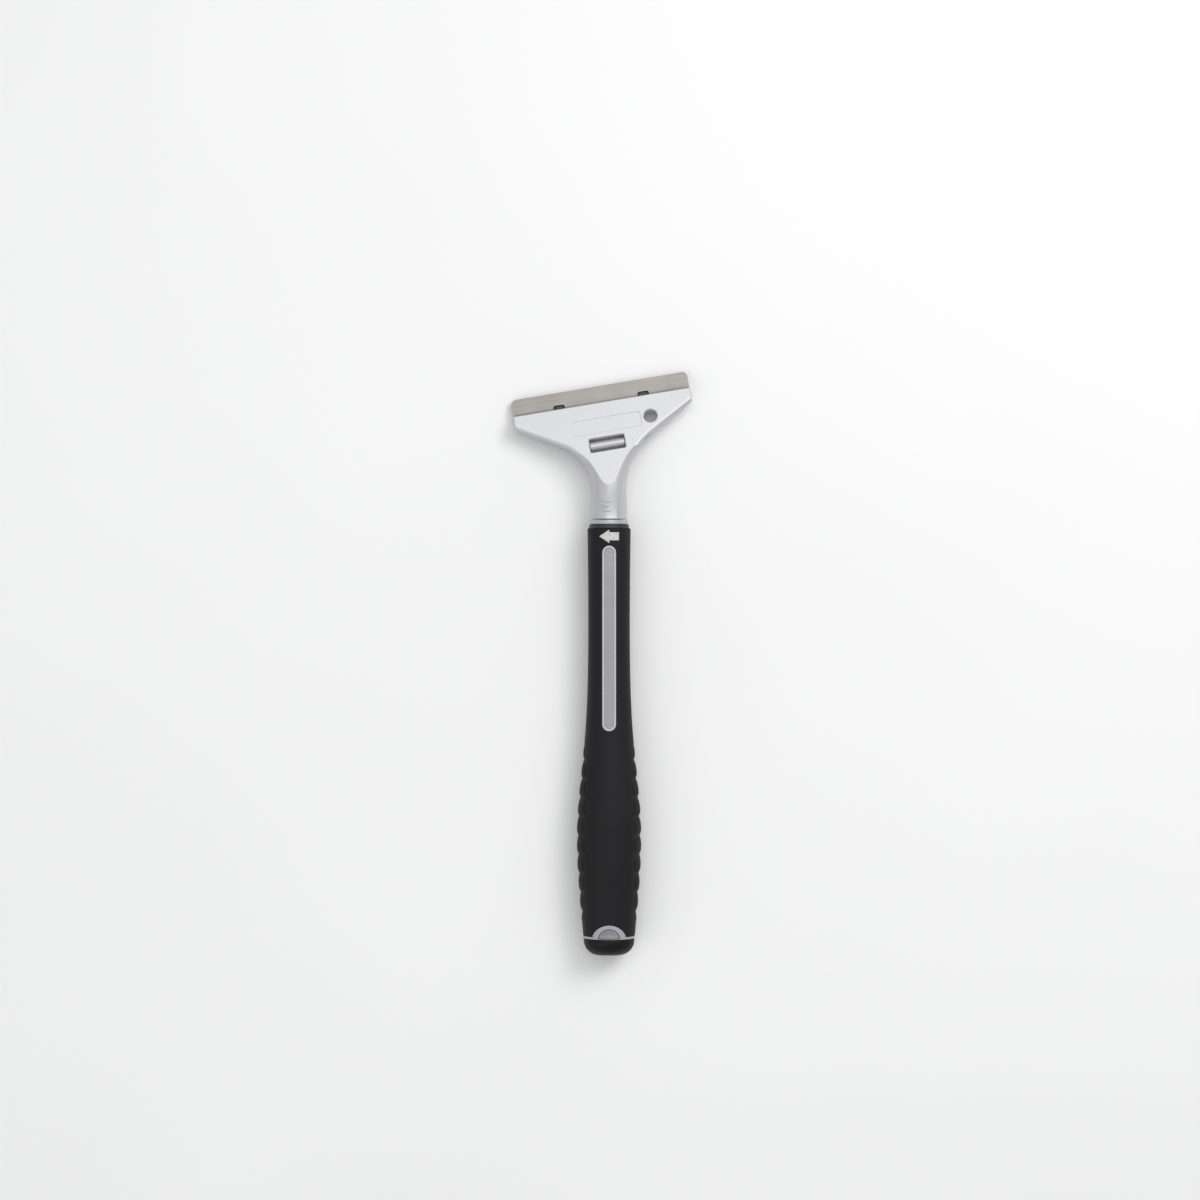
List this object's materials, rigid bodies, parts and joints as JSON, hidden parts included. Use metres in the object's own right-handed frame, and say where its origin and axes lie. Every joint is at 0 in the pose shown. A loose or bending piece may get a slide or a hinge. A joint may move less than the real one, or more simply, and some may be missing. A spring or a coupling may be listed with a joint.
{
  "type": "twist-handle blade scraper",
  "caption": "Long-handled scraper with a skewed die-cast head that clamps a straight blade when the handle is twisted, and blade storage in the grip.",
  "frame": {"origin": "centre of the bottom of the bounding box, with the tool lying on its back", "axes": "+Y from the handle's end to the blade, +Z out of the front, +X to the right seen from the front"},
  "size_m": [0.1026, 0.3306, 0.03],
  "materials": {
    "satin_casting": "satin silver lacquer on die-cast zinc",
    "neck_ring": "satin silver lacquer",
    "blade_steel": "ground and oiled carbon steel",
    "bright_steel": "turned steel",
    "spring_steel": "drawn wire",
    "bush_brass": "turned brass",
    "black_skin": "matte soft overmould",
    "black_ribs": "matte soft overmould, scalloped",
    "black_nylon": "moulded nylon",
    "grey_abs": "moulded, fine spark texture",
    "light_grey_abs": "moulded, satin",
    "strip_grey": "moulded, satin rim and matt centre",
    "white_print": "white filled mark"
  },
  "bodies": {
    "head": {"head_casting": "satin_casting", "pivot_pin": "bright_steel", "clamp_bush": "bush_brass", "jaw_spring": "spring_steel"},
    "jaw": {"rear_jaw": "satin_casting", "blade": "blade_steel"},
    "collar": {"collar_ring": "neck_ring"},
    "handle": {"thrust_washer": "black_nylon", "clamp_screw": "bright_steel", "screw_cross_pin": "bright_steel", "handle_core": "grey_abs", "grip_sleeve": "black_skin", "left_rib_pad": "black_ribs", "right_rib_pad": "black_ribs", "strip_inlay": "strip_grey", "direction_arrow": "white_print"},
    "plug": {"end_plug": "light_grey_abs", "end_cap_boot": "black_skin", "blade_carrier": "grey_abs", "carrier_pins": "bright_steel", "spare_blades": "blade_steel", "latch_spring": "spring_steel"},
    "latch": {"latch_tongue": "light_grey_abs"}
  },
  "joints": [
    {"name": "collar_slide", "type": "slide", "parent": "head", "child": "collar", "axis": [0, 1, 0], "range_m": [-0.003, 0]},
    {"name": "handle_turn", "type": "hinge", "parent": "collar", "child": "handle", "pos_m": [0.00433, 0.07602, 0.015], "axis": [0, 1, 0], "range_deg": [-540, 0]},
    {"name": "jaw_open", "type": "hinge", "parent": "head", "child": "jaw", "pos_m": [0.00339, 0.12352, 0.0153], "axis": [-0.9863, -0.165, 0], "range_deg": [0, 3.2], "deforming": ["jaw_spring"]},
    {"name": "drawer_slide", "type": "slide", "parent": "handle", "child": "plug", "axis": [0, -1, 0], "range_m": [0, 0.115]},
    {"name": "latch_press", "type": "slide", "parent": "plug", "child": "latch", "axis": [0, 0, -1], "range_m": [0, 0.0016], "stiffness_N_per_m": 400, "springref_m": -0.0005, "deforming": ["latch_spring"]}
  ],
  "couplings": [
    {"joint": "collar_slide", "follows": "handle_turn", "m_per_rad": 0.00031831},
    {"joint": "jaw_open", "follows": "handle_turn", "ratio": -0.0059259}
  ]
}
